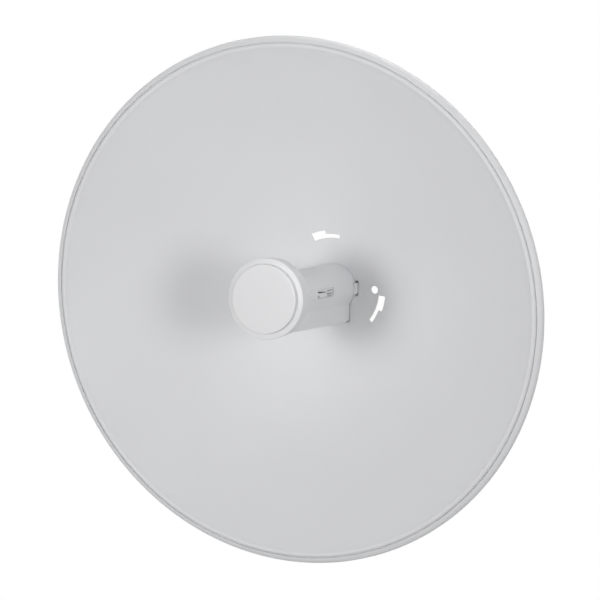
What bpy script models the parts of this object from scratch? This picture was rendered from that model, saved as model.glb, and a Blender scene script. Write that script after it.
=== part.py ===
"""A 500 mm class parabolic dish antenna with its feed, rear hub, tilt bracket and pole clamp.

The front of the dish looks along -Y and +Z is up. The origin lies in the flat face of the
saddle that bears on the pole, which looks along +Y. All sizes are in metres.
"""

import math

import bmesh
import bpy

# Places: the dish stands in front of the saddle and its axis runs below the clamp's middle.
VERTEX_Y = -0.100
AXIS_Z = -0.050
FEED_PITCH = math.radians(4.9)
GAP = 0.0003

# Reflector, as radius and height in front of the vertex.
FOCAL_LENGTH = 0.179
RIM_PLANE = 0.0831
RIM_RADIUS = 0.2618
BOWL_RADIUS = 0.2475
SEAT_RADIUS = 0.026
SPIGOT_RADIUS = 0.016
SHEET = 0.0015
SEAT_Z = SEAT_RADIUS ** 2 / (4 * FOCAL_LENGTH)
SEAT_BACK = SEAT_Z - SHEET
BOWL_STEPS = 7
REFLECTOR_SEGMENTS = 60

# Bayonet slots, as angles from the top towards +X, and the round locking hole.
SLOT_COUNT = 3
SLOT_WIDE = (math.radians(-25.2), math.radians(-8.8))
SLOT_NARROW = (math.radians(-8.8), math.radians(7.1))
SLOT_STEPS = 3
SLOT_INNER = 0.0487
SLOT_WIDE_OUTER = 0.0562
SLOT_NARROW_OUTER = 0.0527
LOCK_HOLE_RADIUS = 0.0039
LOCK_HOLE_X = 0.0438

# Feed housing, on the feed's own axis.
BODY_RADIUS = 0.0227
BODY_ARC_Y = 0.0003
BODY_ARC_END = math.radians(107.5)
BODY_ARC_STEPS = 9
BODY_SIDE_X = 0.0162
BODY_SIDE_Y = -0.0169
BODY_BOTTOM_Y = -0.0345
BODY_CORNER = 0.0015
BODY_START = -0.010
BODY_FRONT = 0.1465
SPIGOT_FRONT = 0.004
KEY_OUTER_X = 0.0252
KEY_LENGTH = 0.0045
KEY_SPAN = (-0.0057, 0.0057)
KEY_WINDOW_MARGIN = 0.0019
KEY_WINDOW_INNER = 0.0207
LATCH_SPAN = (0.0520, 0.0915)
LATCH_HALF_HEIGHT = 0.0046
LATCH_DEPTH = 0.0030
LATCH_PLATE = 0.0016

# Feed cap.
CAP_RADIUS = 0.0401
CAP_BACK = 0.1468
CAP_FRONT = 0.1646
CAP_EDGE = 0.0010
CAP_DISC_RADIUS = 0.0347
CAP_DISC_FRONT = 0.1688
CAP_DISC_EDGE = 0.0008
CAP_SEGMENTS = 48

# Rear hub, as depths behind the vertex.
HUB_PLATE_RADIUS = 0.035
HUB_PLATE_BACK = 0.0048
HUB_RADIUS = 0.0285
HUB_STEP = 0.0200
HUB_NECK_RADIUS = 0.023
HUB_BACK = 0.0330
HUB_ROUND = 0.002
HUB_FLAT_Y = -0.0245
HUB_SEGMENTS = 48
HUB_SCREW_COUNT = 4
HUB_SCREW_CIRCLE = 0.02575
HUB_SCREW_HEAD = (0.0024, 0.0018)
HUB_SCREW_SHANK = 0.0012
HUB_SCREW_DEPTH = 0.006
PORT_DEPTH = 0.0132
DOOR_HALF_X = 0.0135
DOOR_HALF_DEPTH = 0.0055
DOOR_THICK = 0.0018
GLAND_RADIUS = 0.0048
GLAND_THROAT = 0.0024
GLAND_NUT_RADIUS = 0.0075
GLAND_NUT_HEIGHT = 0.0045
GLAND_DOME_RADIUS = 0.0066
GLAND_DOME_HEIGHT = 0.0085
GLAND_DOME_SLOPE = 0.003

# Tilt block and bracket, as depth behind the vertex and height over the dish's axis.
BLOCK_HALF_X = 0.0137
BLOCK_OUTLINE = [(0.0333, -0.004), (0.0570, -0.004), (0.0600, -0.001), (0.0600, 0.029), (0.0570, 0.032),
                 (0.0333, 0.032)]
BRACKET_HALF_X = 0.017
BRACKET_SHEET = 0.003
BRACKET_BACK = 0.0937
BRACKET_OUTLINE = [(0.0360, -0.001), (0.0400, -0.005), (0.0620, -0.005), (BRACKET_BACK, 0.014),
                   (BRACKET_BACK, 0.086), (0.0850, 0.083), (0.0560, 0.038), (0.0520, 0.0365),
                   (0.0400, 0.0365), (0.0360, 0.0325)]
PIVOT_AT = (0.048, 0.006)
LOCK_SWING_RADIUS = 0.018
LOCK_SWING = math.radians(20)
LOCK_SWING_STEPS = 6
EARTH_SCREW_AT = (0.076, 0.050)

# Fasteners.
M8_SHANK = 0.0040
M8_HOLE = 0.0043
M8_HEX = 0.0075
M8_HEAD = 0.0053
M8_NUT = 0.0065
M8_WASHER = 0.0080
WASHER_THICK = 0.0016
BOLT_TIP = 0.002
SMALL_SHANK = 0.0025
SMALL_HEAD_RADIUS = 0.0046
SMALL_HEAD = 0.0030
EARTH_SHANK = 0.005

# Pole clamp, in the saddle's own frame, which is the part's frame.
WEB_HALF_X = 0.035
SADDLE_HALF_Z = 0.040
SADDLE_WEB = (-0.006, -0.002)
PAD_HALF_X = 0.020
PAD_HALF_Z = 0.034
FLANGE = 0.003
FLANGE_HALF_X = 0.026
FLANGE_REACH = 0.018
NOTCH_HALF = (0.009, 0.020)
JAW_WEB = (0.050, 0.053)
JAW_HALF_Z = 0.024
CLAMP_BOLT_X = 0.028
CLAMP_BOLT_END = 0.066
BRACKET_SCREW_Z = 0.022
BLIND_HOLE_SKIN = 0.0007

UP_IS_Y = math.radians(90)
SIDEWAYS = (math.radians(90), 0, math.radians(90))

# A cutter runs past what it cuts by a clear length, and a joined piece bites into its carrier.
CLEAR = 0.010
FAR = 0.060
BITE = 0.001
ROD_SIDES = 24
SMALL_SIDES = 16
SPIGOT_SIDES = 32
HEX_SIDES = 6


def clear_scene():
    for old in list(bpy.data.objects):
        bpy.data.objects.remove(old, do_unlink=True)


def new_collection(name):
    collection = bpy.data.collections.new(name)
    bpy.context.scene.collection.children.link(collection)
    return collection


clear_scene()
PARTS = new_collection("parabolic_dish_antenna")
CUTTERS = new_collection("cutters")


def paint(name, colour, roughness, metallic):
    material = bpy.data.materials.new(name)
    material.use_nodes = True
    shader = material.node_tree.nodes["Principled BSDF"]
    shader.inputs["Base Color"].default_value = (*colour, 1)
    shader.inputs["Roughness"].default_value = roughness
    shader.inputs["Metallic"].default_value = metallic
    return material


DISH_PAINT = paint("dish_paint", (0.78, 0.78, 0.79), 0.45, 0.0)
HOUSING_PLASTIC = paint("housing_plastic", (0.76, 0.77, 0.78), 0.40, 0.0)
CAP_PLASTIC = paint("cap_plastic", (0.82, 0.82, 0.83), 0.35, 0.0)
GLAND_PLASTIC = paint("gland_plastic", (0.10, 0.10, 0.11), 0.55, 0.0)
BRACKET_PAINT = paint("bracket_paint", (0.74, 0.74, 0.75), 0.50, 0.0)
ZINC = paint("zinc_fastener", (0.62, 0.62, 0.60), 0.35, 1.0)


def empty(name, location, pitch):
    holder = bpy.data.objects.new(name, None)
    holder.location = location
    holder.rotation_euler = (pitch, 0, 0)
    PARTS.objects.link(holder)
    return holder


# In both of these frames x is sideways, y is up and z points out of the dish's front.
DISH = empty("dish_axis", (0, VERTEX_Y, AXIS_Z), UP_IS_Y)
FEED = empty("feed_axis", (0, VERTEX_Y, AXIS_Z), UP_IS_Y - FEED_PITCH)


def add_object(name, mesh, material, parent=None, cutter=False):
    thing = bpy.data.objects.new(name, mesh)
    thing.parent = parent
    if cutter:
        thing.hide_render = True
        thing.display_type = "WIRE"
        CUTTERS.objects.link(thing)
    else:
        mesh.materials.append(material)
        PARTS.objects.link(thing)
    return thing


def finish_shading(mesh):
    mesh.shade_smooth()
    mesh.set_sharp_from_angle(angle=math.radians(30))


def turned(name, profile, segments, material, parent=None, closed=False, cutter=False):
    """A profile of (radius, height), top to bottom on its outer side, turned about local Z."""
    mesh = bpy.data.meshes.new(name)
    edges = [(i, i + 1) for i in range(len(profile) - 1)]
    if closed:
        edges.append((len(profile) - 1, 0))
    mesh.from_pydata([(r, 0, z) for r, z in profile], edges, [])
    thing = add_object(name, mesh, material, parent, cutter)
    screw = thing.modifiers.new("turn", "SCREW")
    screw.axis = "Z"
    screw.steps = segments
    screw.render_steps = segments
    screw.use_merge_vertices = True
    screw.merge_threshold = 0.00001
    screw.use_smooth_shade = True
    return thing


def plate(name, outline, bottom, top, material, parent=None, cutter=False):
    """A flat outline of (x, y) made solid between two heights along local Z."""
    curve = bpy.data.curves.new(name, "CURVE")
    curve.dimensions = "2D"
    curve.fill_mode = "BOTH"
    curve.extrude = (top - bottom) / 2
    spline = curve.splines.new("POLY")
    spline.points.add(len(outline) - 1)
    for point, (x, y) in zip(spline.points, outline):
        point.co = (x, y, 0, 1)
    spline.use_cyclic_u = True
    drawn = bpy.data.objects.new(name + "_outline", curve)
    PARTS.objects.link(drawn)
    drawn.location = (0, 0, (top + bottom) / 2)
    bpy.context.view_layer.update()
    shape = drawn.evaluated_get(bpy.context.evaluated_depsgraph_get())
    mesh = bpy.data.meshes.new_from_object(shape)
    mesh.transform(drawn.matrix_world)
    bpy.data.objects.remove(drawn, do_unlink=True)
    shell = bmesh.new()
    shell.from_mesh(mesh)
    bmesh.ops.remove_doubles(shell, verts=shell.verts, dist=0.000001)
    bmesh.ops.recalc_face_normals(shell, faces=shell.faces)
    shell.to_mesh(mesh)
    shell.free()
    mesh.name = name
    mesh.materials.clear()
    return add_object(name, mesh, material, parent, cutter)


def block(name, low, high, material, parent=None, cutter=False):
    """A box between two corners."""
    mesh = bpy.data.meshes.new(name)
    shell = bmesh.new()
    bmesh.ops.create_cube(shell, size=1)
    size = [high[i] - low[i] for i in range(3)]
    middle = [(high[i] + low[i]) / 2 for i in range(3)]
    bmesh.ops.scale(shell, vec=size, verts=shell.verts)
    bmesh.ops.translate(shell, vec=middle, verts=shell.verts)
    shell.to_mesh(mesh)
    shell.free()
    return add_object(name, mesh, material, parent, cutter)


def rod(name, radius, bottom, top, sides, material=None, parent=None, at=(0, 0), cutter=False):
    """A round or many-sided bar along local Z, at the place (x, y)."""
    mesh = bpy.data.meshes.new(name)
    shell = bmesh.new()
    depth = top - bottom
    bmesh.ops.create_cone(shell, cap_ends=True, segments=sides, radius1=radius, radius2=radius, depth=depth)
    bmesh.ops.translate(shell, vec=(at[0], at[1], (top + bottom) / 2), verts=shell.verts)
    shell.to_mesh(mesh)
    shell.free()
    finish_shading(mesh)
    return add_object(name, mesh, material, parent, cutter)


def combine(thing, other, operation):
    change = thing.modifiers.new(operation.lower(), "BOOLEAN")
    change.operation = operation
    change.solver = "EXACT"
    change.object = other


def arc(radius, start, end, steps, centre=(0, 0)):
    """Points on a circle, at angles from its top towards +X."""
    angles = [start + (end - start) * i / steps for i in range(steps + 1)]
    return [(centre[0] + radius * math.sin(a), centre[1] + radius * math.cos(a)) for a in angles]


def mirrored(half):
    """A whole outline from its right half, which runs from the top of the middle line to its foot."""
    return half + [(-x, y) for x, y in reversed(half) if x > 0]


# Reflector: a thin pressed sheet with a beaded and rolled rim.

RIM_FRONT = [(0.2488, 0.0043), (0.2502, 0.0059), (0.2518, 0.0065), (0.2534, 0.0064), (0.2556, 0.0055),
             (0.2560, 0.0040), (0.2586, 0.0040), (0.2606, 0.0028), (0.2616, 0.0012), (RIM_RADIUS, -0.0004),
             (0.2613, -0.0026)]
RIM_BACK = [(0.2598, -0.0020), (0.2601, 0.0000), (0.2586, 0.0020), (0.2552, 0.0028), (0.2532, 0.0049),
            (0.2508, 0.0044)]


def bowl_height(radius):
    return radius ** 2 / (4 * FOCAL_LENGTH)


def bowl_radii():
    step = (BOWL_RADIUS - SEAT_RADIUS) / BOWL_STEPS
    return [SEAT_RADIUS + step * i for i in range(BOWL_STEPS + 1)]


def reflector_profile():
    radii = bowl_radii()
    front = [(SPIGOT_RADIUS + GAP, SEAT_Z)]
    front += [(r, bowl_height(r)) for r in radii]
    front += [(r, RIM_PLANE + z) for r, z in RIM_FRONT]
    back = [(r, RIM_PLANE + z) for r, z in RIM_BACK]
    for r in reversed(radii[1:]):
        slope = math.atan(r / (2 * FOCAL_LENGTH))
        back.append((r + SHEET * math.sin(slope), bowl_height(r) - SHEET * math.cos(slope)))
    back += [(SEAT_RADIUS, SEAT_BACK), (SPIGOT_RADIUS + GAP, SEAT_BACK)]
    return front + back


def slot_outline(turn):
    """A slot with a wide and a narrow end, both on the same inner circle."""
    wide = arc(SLOT_WIDE_OUTER, SLOT_WIDE[0] + turn, SLOT_WIDE[1] + turn, SLOT_STEPS)
    narrow = arc(SLOT_NARROW_OUTER, SLOT_NARROW[0] + turn, SLOT_NARROW[1] + turn, SLOT_STEPS)
    inner = arc(SLOT_INNER, SLOT_NARROW[1] + turn, SLOT_WIDE[0] + turn, 2 * SLOT_STEPS)
    return wide + narrow + inner


def make_reflector():
    dish = turned("reflector", reflector_profile(), REFLECTOR_SEGMENTS, DISH_PAINT, DISH, closed=True)
    for i in range(SLOT_COUNT):
        outline = slot_outline(2 * math.pi * i / SLOT_COUNT)
        combine(dish, plate(f"slot_cutter_{i}", outline, -CLEAR, CLEAR, None, DISH, True), "DIFFERENCE")
    at = (LOCK_HOLE_X, 0)
    hole = rod("lock_hole_cutter", LOCK_HOLE_RADIUS, -CLEAR, CLEAR, SMALL_SIDES, None, DISH, at, True)
    combine(dish, hole, "DIFFERENCE")
    foot = KEY_SPAN[0] - KEY_WINDOW_MARGIN
    top = KEY_SPAN[1] + KEY_WINDOW_MARGIN
    for side, word in ((1, "right"), (-1, "left")):
        near, far = sorted((side * KEY_WINDOW_INNER, side * (KEY_OUTER_X + GAP)))
        name = f"key_window_cutter_{word}"
        window = block(name, (near, foot, -CLEAR), (far, top, CLEAR), None, DISH, True)
        combine(dish, window, "DIFFERENCE")


# Feed: the radio's housing with its keys and latches, and the round cap over its end.

def housing_outline():
    crown = arc(BODY_RADIUS, 0, BODY_ARC_END, BODY_ARC_STEPS, (0, BODY_ARC_Y))
    side = [(BODY_SIDE_X, BODY_SIDE_Y), (BODY_SIDE_X, BODY_BOTTOM_Y + BODY_CORNER),
            (BODY_SIDE_X - BODY_CORNER, BODY_BOTTOM_Y)]
    return mirrored(crown + side)


def make_feed_housing():
    housing = plate("feed_housing", housing_outline(), BODY_START, BODY_FRONT, HOUSING_PLASTIC, FEED)
    edge = bowl_radii()[1]
    seat = [(0, SEAT_Z + GAP), (SEAT_RADIUS, SEAT_Z + GAP), (edge, bowl_height(edge) + GAP), (edge, -FAR),
            (0, -FAR)]
    behind = turned("seat_cutter", seat, REFLECTOR_SEGMENTS, None, DISH, cutter=True)
    combine(housing, behind, "DIFFERENCE")
    low, high = -HUB_PLATE_BACK, SPIGOT_FRONT
    spigot = rod("spigot", SPIGOT_RADIUS, low, high, SPIGOT_SIDES, None, DISH, cutter=True)
    combine(housing, spigot, "UNION")
    for side, word in ((1, "right"), (-1, "left")):
        near, far = sorted((side * (BODY_RADIUS - LATCH_DEPTH), side * (BODY_RADIUS + CLEAR)))
        corners = (near, -LATCH_HALF_HEIGHT, LATCH_SPAN[0]), (far, LATCH_HALF_HEIGHT, LATCH_SPAN[1])
        combine(housing, block(f"latch_cutter_{word}", *corners, None, FEED, True), "DIFFERENCE")
        make_latch(side, word)
        make_key(side, word)


def make_latch(side, word):
    """A spring tongue that lies in its window, just below the housing's side."""
    floor = BODY_RADIUS - LATCH_DEPTH + GAP
    near, far = sorted((side * floor, side * (floor + LATCH_PLATE)))
    low = (near, -LATCH_HALF_HEIGHT + GAP, LATCH_SPAN[0] + GAP)
    high = (far, LATCH_HALF_HEIGHT - GAP, LATCH_SPAN[1] - GAP)
    block(f"latch_{word}", low, high, HOUSING_PLASTIC, FEED)


def make_key(side, word):
    """A lug at the housing's foot that keys it to the window in the reflector."""
    near, far = sorted((side * (BODY_RADIUS + GAP), side * KEY_OUTER_X))
    low = (near, KEY_SPAN[0], SEAT_BACK)
    high = (far, KEY_SPAN[1], SEAT_Z + KEY_LENGTH)
    block(f"feed_key_{word}", low, high, HOUSING_PLASTIC, DISH)


def make_feed_cap():
    cap = [(0, CAP_FRONT), (CAP_RADIUS - CAP_EDGE, CAP_FRONT), (CAP_RADIUS, CAP_FRONT - CAP_EDGE),
           (CAP_RADIUS, CAP_BACK + CAP_EDGE), (CAP_RADIUS - CAP_EDGE, CAP_BACK), (0, CAP_BACK)]
    turned("feed_cap", cap, CAP_SEGMENTS, CAP_PLASTIC, FEED)
    foot = CAP_FRONT + GAP
    disc = [(0, CAP_DISC_FRONT), (CAP_DISC_RADIUS - CAP_DISC_EDGE, CAP_DISC_FRONT),
            (CAP_DISC_RADIUS, CAP_DISC_FRONT - CAP_DISC_EDGE), (CAP_DISC_RADIUS, foot), (0, foot)]
    turned("feed_cap_disc", disc, CAP_SEGMENTS, CAP_PLASTIC, FEED)


# Rear hub: the plate behind the sheet, the round housing, its screws and its cable port.

def make_hub():
    inner = SPIGOT_RADIUS + GAP
    top = SEAT_BACK - GAP
    ring = [(inner, top), (HUB_PLATE_RADIUS, top), (HUB_PLATE_RADIUS, -HUB_PLATE_BACK),
            (inner, -HUB_PLATE_BACK)]
    turned("hub_plate", ring, HUB_SEGMENTS, BRACKET_PAINT, DISH, closed=True)
    front = -HUB_PLATE_BACK - GAP
    body = [(0, front), (HUB_RADIUS, front), (HUB_RADIUS, -HUB_STEP + HUB_ROUND),
            (HUB_RADIUS - HUB_ROUND, -HUB_STEP), (HUB_NECK_RADIUS, -HUB_STEP), (HUB_NECK_RADIUS, -HUB_BACK),
            (0, -HUB_BACK)]
    hub = turned("hub_housing", body, HUB_SEGMENTS, HOUSING_PLASTIC, DISH)
    below = block("hub_flat_cutter", (-FAR, -FAR, -HUB_STEP - GAP), (FAR, HUB_FLAT_Y, 0), None, DISH, True)
    combine(hub, below, "DIFFERENCE")
    for i in range(HUB_SCREW_COUNT):
        angle = math.pi / 4 + 2 * math.pi * i / HUB_SCREW_COUNT
        make_hub_screw(hub, i + 1, (HUB_SCREW_CIRCLE * math.cos(angle), HUB_SCREW_CIRCLE * math.sin(angle)))


def make_hub_screw(hub, number, at):
    radius, height = HUB_SCREW_HEAD
    under = -HUB_STEP - GAP
    deep = -HUB_STEP + HUB_SCREW_DEPTH
    hole = HUB_SCREW_SHANK + GAP
    name = f"hub_screw_cutter_{number}"
    bore = rod(name, hole, under - BITE, deep, SMALL_SIDES, None, DISH, at, True)
    combine(hub, bore, "DIFFERENCE")
    screw = rod(f"hub_screw_{number}", radius, under - height, under, SMALL_SIDES, ZINC, DISH, at)
    name = f"hub_shank_{number}"
    shank = rod(name, HUB_SCREW_SHANK, under - BITE, deep - GAP, SMALL_SIDES, None, DISH, at, True)
    combine(screw, shank, "UNION")


def make_cable_port():
    """A flat door under the hub with a gland through it. Here z is up and y is behind the vertex."""
    bottom = AXIS_Z + HUB_FLAT_Y - GAP
    middle = VERTEX_Y + PORT_DEPTH
    low = (-DOOR_HALF_X, middle - DOOR_HALF_DEPTH, bottom - DOOR_THICK)
    high = (DOOR_HALF_X, middle + DOOR_HALF_DEPTH, bottom)
    door = block("port_door", low, high, HOUSING_PLASTIC)
    at = (0, middle)
    hole = GLAND_RADIUS + GAP
    passage = rod("gland_cutter", hole, bottom - CLEAR, bottom + CLEAR, ROD_SIDES, None, None, at, True)
    combine(door, passage, "DIFFERENCE")
    nut_top = bottom - DOOR_THICK - GAP
    nut_foot = nut_top - GLAND_NUT_HEIGHT
    nut = rod("gland_nut", GLAND_NUT_RADIUS, nut_foot, nut_top, HEX_SIDES, GLAND_PLASTIC, None, at)
    combine(nut, passage, "DIFFERENCE")
    dome = nut_foot - GLAND_DOME_HEIGHT
    seat = nut_foot - GAP
    body = [(GLAND_THROAT, bottom), (GLAND_RADIUS, bottom), (GLAND_RADIUS, seat), (GLAND_DOME_RADIUS, seat),
            (GLAND_DOME_RADIUS, dome + GLAND_DOME_SLOPE), (GLAND_RADIUS, dome), (GLAND_THROAT, dome)]
    gland = turned("cable_gland", body, ROD_SIDES, GLAND_PLASTIC, closed=True)
    gland.location = (0, middle, 0)


# Tilt block and bracket, drawn from the side as (depth, height) and made solid along X.

def side_plate(name, outline, half_width, material, cutter=False):
    points = [(VERTEX_Y + depth, AXIS_Z + height) for depth, height in outline]
    thing = plate(name, points, -half_width, half_width, material, None, cutter)
    thing.rotation_euler = SIDEWAYS
    return thing


def side_rod(name, radius, x_low, x_high, sides, at, material=None, cutter=False):
    place = (VERTEX_Y + at[0], AXIS_Z + at[1])
    thing = rod(name, radius, x_low, x_high, sides, material, None, place, cutter)
    thing.rotation_euler = SIDEWAYS
    return thing


def lock_at():
    return (PIVOT_AT[0], PIVOT_AT[1] + LOCK_SWING_RADIUS)


def swing_outline():
    """The curved slot for the lock bolt, round the pivot."""
    outer = arc(LOCK_SWING_RADIUS + M8_HOLE, -LOCK_SWING, LOCK_SWING, LOCK_SWING_STEPS, PIVOT_AT)
    inner = arc(LOCK_SWING_RADIUS - M8_HOLE, LOCK_SWING, -LOCK_SWING, LOCK_SWING_STEPS, PIVOT_AT)
    return outer + inner


def make_tilt_parts():
    tilt_block = side_plate("tilt_block", BLOCK_OUTLINE, BLOCK_HALF_X, BRACKET_PAINT)
    bracket = side_plate("tilt_bracket", BRACKET_OUTLINE, BRACKET_HALF_X, BRACKET_PAINT)
    inside = BRACKET_HALF_X - BRACKET_SHEET
    back = VERTEX_Y + BRACKET_BACK - BRACKET_SHEET
    low = (-inside, VERTEX_Y, AXIS_Z - FAR)
    high = (inside, back, AXIS_Z + 2 * FAR)
    combine(bracket, block("bracket_hollow", low, high, None, None, True), "DIFFERENCE")
    pivot = side_rod("pivot_cutter", M8_HOLE, -FAR, FAR, ROD_SIDES, PIVOT_AT, None, True)
    lock = side_rod("lock_cutter", M8_HOLE, -FAR, FAR, ROD_SIDES, lock_at(), None, True)
    slot = side_plate("lock_slot_cutter", swing_outline(), FAR, None, True)
    combine(tilt_block, pivot, "DIFFERENCE")
    combine(tilt_block, lock, "DIFFERENCE")
    combine(bracket, pivot, "DIFFERENCE")
    combine(bracket, slot, "DIFFERENCE")
    make_cross_bolt("pivot", PIVOT_AT)
    make_cross_bolt("lock", lock_at())
    make_earth_screw(bracket)


def make_earth_screw(bracket):
    """The screw for an earth wire, on the bracket's -X cheek."""
    at = EARTH_SCREW_AT
    bore = side_rod("earth_cutter", SMALL_SHANK + GAP, -FAR, 0, SMALL_SIDES, at, None, True)
    combine(bracket, bore, "DIFFERENCE")
    under = -BRACKET_HALF_X - GAP
    screw = side_rod("earth_screw", SMALL_HEAD_RADIUS, under - SMALL_HEAD, under, SMALL_SIDES, at, ZINC)
    end = under + EARTH_SHANK
    shank = side_rod("earth_shank", SMALL_SHANK, under - BITE, end, SMALL_SIDES, at, None, True)
    combine(screw, shank, "UNION")


def make_cross_bolt(word, at):
    """A bolt through both cheeks, head on +X, with a washer and a nut on -X."""
    face = BRACKET_HALF_X + GAP
    washer_end = face + WASHER_THICK
    nut_start = washer_end + GAP
    nut_end = nut_start + M8_NUT
    tip = nut_end + BOLT_TIP
    bolt = side_rod(f"{word}_bolt", M8_HEX, face, face + M8_HEAD, HEX_SIDES, at, ZINC)
    shank = side_rod(f"{word}_shank", M8_SHANK, -tip, face + BITE, ROD_SIDES, at, None, True)
    combine(bolt, shank, "UNION")
    bore = side_rod(f"{word}_nut_cutter", M8_HOLE, -tip, -BRACKET_HALF_X, ROD_SIDES, at, None, True)
    washer = side_rod(f"{word}_washer", M8_WASHER, -washer_end, -face, ROD_SIDES, at, ZINC)
    combine(washer, bore, "DIFFERENCE")
    nut = side_rod(f"{word}_nut", M8_HEX, -nut_end, -nut_start, HEX_SIDES, at, ZINC)
    combine(nut, bore, "DIFFERENCE")


# Pole clamp: the saddle with the bearing face, the far jaw and the two long bolts.

def notched_flange(name, root, tip, low, high):
    """A flat flange of (x, y) from a web to its tip, with a V notch for the pole."""
    grip_root = root + math.copysign(BITE, root - tip)
    half = [(FLANGE_HALF_X, grip_root), (FLANGE_HALF_X, tip), (NOTCH_HALF[1], tip), (NOTCH_HALF[0], root)]
    return plate(name, mirrored(half), low, high, None, None, True)


def add_flanges(web, word, root, tip, half_z):
    for end, z in (("top", half_z - FLANGE), ("bottom", -half_z)):
        combine(web, notched_flange(f"{word}_flange_{end}", root, tip, z, z + FLANGE), "UNION")


def along_y(name, radius, start, end, sides, at, material=None, cutter=False):
    """A bar along the part's Y between two depths, at the place (x, -z)."""
    thing = rod(name, radius, -end, -start, sides, material, None, at, cutter)
    thing.rotation_euler = (UP_IS_Y, 0, 0)
    return thing


def bolt_holes(thing):
    for side, word in ((1, "right"), (-1, "left")):
        at = (side * CLAMP_BOLT_X, 0)
        bore = along_y(f"{thing.name}_bore_{word}", M8_HOLE, -FAR, FAR, ROD_SIDES, at, None, True)
        combine(thing, bore, "DIFFERENCE")


def make_saddle():
    low, high = SADDLE_WEB
    corner = (WEB_HALF_X, high, SADDLE_HALF_Z)
    saddle = block("pole_saddle", (-WEB_HALF_X, low, -SADDLE_HALF_Z), corner, BRACKET_PAINT)
    pad_low = (-PAD_HALF_X, low + BITE, -PAD_HALF_Z)
    pad = block("saddle_pad", pad_low, (PAD_HALF_X, 0, PAD_HALF_Z), None, None, True)
    combine(saddle, pad, "UNION")
    add_flanges(saddle, "saddle", high - BITE, FLANGE_REACH, SADDLE_HALF_Z)
    bolt_holes(saddle)
    for word, z in (("upper", BRACKET_SCREW_Z), ("lower", -BRACKET_SCREW_Z)):
        make_bracket_screw(saddle, word, z)


def make_bracket_screw(saddle, word, z):
    """A screw inside the bracket that ties it to the saddle's web."""
    at = (0, z)
    face = VERTEX_Y + BRACKET_BACK - BRACKET_SHEET
    blind = SADDLE_WEB[1] - BLIND_HOLE_SKIN
    under = face - GAP
    hole = SMALL_SHANK + GAP
    bore = along_y(f"bracket_screw_cutter_{word}", hole, face - BITE, blind, SMALL_SIDES, at, None, True)
    combine(saddle, bore, "DIFFERENCE")
    combine(bpy.data.objects["tilt_bracket"], bore, "DIFFERENCE")
    head = under - SMALL_HEAD
    screw = along_y(f"bracket_screw_{word}", SMALL_HEAD_RADIUS, head, under, SMALL_SIDES, at, ZINC)
    tip = blind - GAP
    shank = along_y(f"bracket_shank_{word}", SMALL_SHANK, under - BITE, tip, SMALL_SIDES, at, None, True)
    combine(screw, shank, "UNION")


def make_jaw():
    low, high = JAW_WEB
    corner = (WEB_HALF_X, high, JAW_HALF_Z)
    jaw = block("clamp_jaw", (-WEB_HALF_X, low, -JAW_HALF_Z), corner, BRACKET_PAINT)
    root = low + BITE
    add_flanges(jaw, "jaw", root, low - FLANGE_REACH, JAW_HALF_Z)
    bolt_holes(jaw)


def make_clamp_bolt(side, word):
    """A long bolt from the saddle's front to a washer and nut behind the jaw."""
    at = (side * CLAMP_BOLT_X, 0)
    head = SADDLE_WEB[0] - GAP
    washer = JAW_WEB[1] + GAP
    nut = washer + WASHER_THICK + GAP
    bolt = along_y(f"clamp_bolt_{word}", M8_HEX, head - M8_HEAD, head, HEX_SIDES, at, ZINC)
    shank = along_y(f"clamp_shank_{word}", M8_SHANK, head - BITE, CLAMP_BOLT_END, ROD_SIDES, at, None, True)
    combine(bolt, shank, "UNION")
    bore = along_y(f"clamp_nut_cutter_{word}", M8_HOLE, JAW_WEB[0], FAR + CLEAR, ROD_SIDES, at, None, True)
    ring = along_y(f"clamp_washer_{word}", M8_WASHER, washer, washer + WASHER_THICK, ROD_SIDES, at, ZINC)
    combine(ring, bore, "DIFFERENCE")
    hexagon = along_y(f"clamp_nut_{word}", M8_HEX, nut, nut + M8_NUT, HEX_SIDES, at, ZINC)
    combine(hexagon, bore, "DIFFERENCE")


make_reflector()
make_feed_housing()
make_feed_cap()
make_hub()
make_cable_port()
make_tilt_parts()
make_saddle()
make_jaw()
make_clamp_bolt(1, "right")
make_clamp_bolt(-1, "left")
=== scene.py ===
import math

import bmesh
import bpy
from mathutils import Matrix, Vector


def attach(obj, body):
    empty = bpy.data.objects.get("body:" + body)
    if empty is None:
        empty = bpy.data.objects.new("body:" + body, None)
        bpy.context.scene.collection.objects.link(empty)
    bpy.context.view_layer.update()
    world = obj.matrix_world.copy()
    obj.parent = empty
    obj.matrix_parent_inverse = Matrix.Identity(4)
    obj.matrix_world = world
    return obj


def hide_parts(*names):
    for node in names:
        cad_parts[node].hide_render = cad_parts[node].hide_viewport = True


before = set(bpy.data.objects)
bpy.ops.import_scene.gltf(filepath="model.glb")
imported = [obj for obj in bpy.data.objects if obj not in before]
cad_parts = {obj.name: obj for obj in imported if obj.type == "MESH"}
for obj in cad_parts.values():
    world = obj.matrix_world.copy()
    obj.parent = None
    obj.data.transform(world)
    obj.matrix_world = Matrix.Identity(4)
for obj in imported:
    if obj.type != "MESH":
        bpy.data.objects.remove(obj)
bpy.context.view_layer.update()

# where the dish's vertex sits, and how many degrees the feed looks up
place = {"vertexY": -0.100, "axisZ": -0.050, "feedPitch": 4.9}

vertex = Matrix.Translation((0, place["vertexY"], place["axisZ"]))
# in the frames of the dish and the feed, x is sideways, y is up and z points out of the dish's mouth
dishFrame = vertex @ Matrix.Rotation(math.radians(90), 4, "X")
feedFrame = vertex @ Matrix.Rotation(math.radians(90 - place["feedPitch"]), 4, "X")
# an outline of (depth, height) drawn from the side, made solid along X
sideFrame = vertex @ Matrix.Rotation(math.radians(90), 4, "Z") @ Matrix.Rotation(math.radians(90), 4, "X")
# the clamp's own frame, with local z pointing back to the pole
backFrame = Matrix.Rotation(math.radians(-90), 4, "X")
halfTurn = Matrix.Rotation(math.pi, 4, "X")


# materials: every number that is the same all over goes on the shader's own socket

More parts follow.
